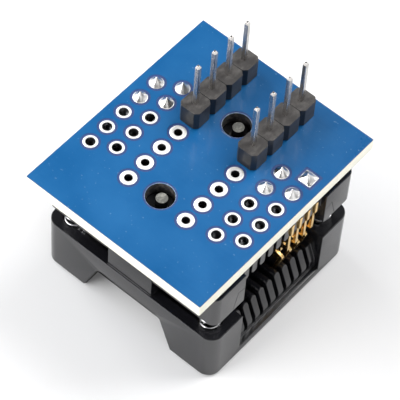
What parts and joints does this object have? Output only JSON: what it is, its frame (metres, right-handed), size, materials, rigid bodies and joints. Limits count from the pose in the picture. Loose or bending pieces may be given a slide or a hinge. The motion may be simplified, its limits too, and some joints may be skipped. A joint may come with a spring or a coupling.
{
  "type": "chip programming adapter",
  "caption": "Open-top push-to-open chip test socket on a small board, with two rows of header pins that plug into a programmer's DIP socket.",
  "frame": {"origin": "middle of the board's outline, on the plane that the cover's resting face stands on, with the header pins pointing up", "axes": "+Z towards the header pins' tips, +Y along the contact rows towards the header end, +X across the rows"},
  "size_m": [0.0233, 0.0274, 0.0256],
  "materials": {
    "board_blue": "glossy blue solder mask over glass-epoxy board, cream cut edges",
    "tinned_copper": "bright tin plating",
    "header_plastic": "satin dark moulded plastic",
    "pin_metal": "bright tin-plated square pins",
    "solder": "bright solder",
    "black_plastic": "glossy black moulded plastic",
    "spring_steel": "bright spring wire",
    "gold_plate": "gold-plated spring contacts"
  },
  "bodies": {
    "base": {"circuit_board": "board_blue", "socket_pads": "tinned_copper", "header_pads": "tinned_copper", "header_body_left": "header_plastic", "header_body_right": "header_plastic", "header_pins_left": "pin_metal", "header_pins_right": "pin_metal", "header_solder": "solder", "contact_solder": "solder", "socket_base": "black_plastic", "spring_left_front": "spring_steel", "spring_left_rear": "spring_steel", "spring_right_front": "spring_steel", "spring_right_rear": "spring_steel", "contact_stem_left_1": "gold_plate", "contact_stem_left_2": "gold_plate", "contact_stem_left_3": "gold_plate", "contact_stem_left_4": "gold_plate", "contact_stem_right_1": "gold_plate", "contact_stem_right_2": "gold_plate", "contact_stem_right_3": "gold_plate", "contact_stem_right_4": "gold_plate"},
    "cover": {"socket_cover": "black_plastic"},
    "arms_left": {"contact_arm_left_1": "gold_plate", "contact_arm_left_2": "gold_plate", "contact_arm_left_3": "gold_plate", "contact_arm_left_4": "gold_plate"},
    "arms_right": {"contact_arm_right_1": "gold_plate", "contact_arm_right_2": "gold_plate", "contact_arm_right_3": "gold_plate", "contact_arm_right_4": "gold_plate"}
  },
  "joints": [
    {"name": "cover_press", "type": "slide", "parent": "base", "child": "cover", "axis": [0, 0, 1], "range_m": [0, 0.0025], "stiffness_N_per_m": 2400, "springref_m": -0.001, "deforming": ["spring_left_front", "spring_left_rear", "spring_right_front", "spring_right_rear"]},
    {"name": "left_contacts_open", "type": "hinge", "parent": "base", "child": "arms_left", "pos_m": [-0.00931, 0, 0.00907], "axis": [0, 1, 0], "range_deg": [0, 11]},
    {"name": "right_contacts_open", "type": "hinge", "parent": "base", "child": "arms_right", "pos_m": [0.00991, 0, 0.00907], "axis": [0, 1, 0], "range_deg": [-11, 0]}
  ],
  "couplings": [
    {"joint": "left_contacts_open", "follows": "cover_press", "rad_per_m": 72},
    {"joint": "right_contacts_open", "follows": "cover_press", "rad_per_m": -72}
  ]
}
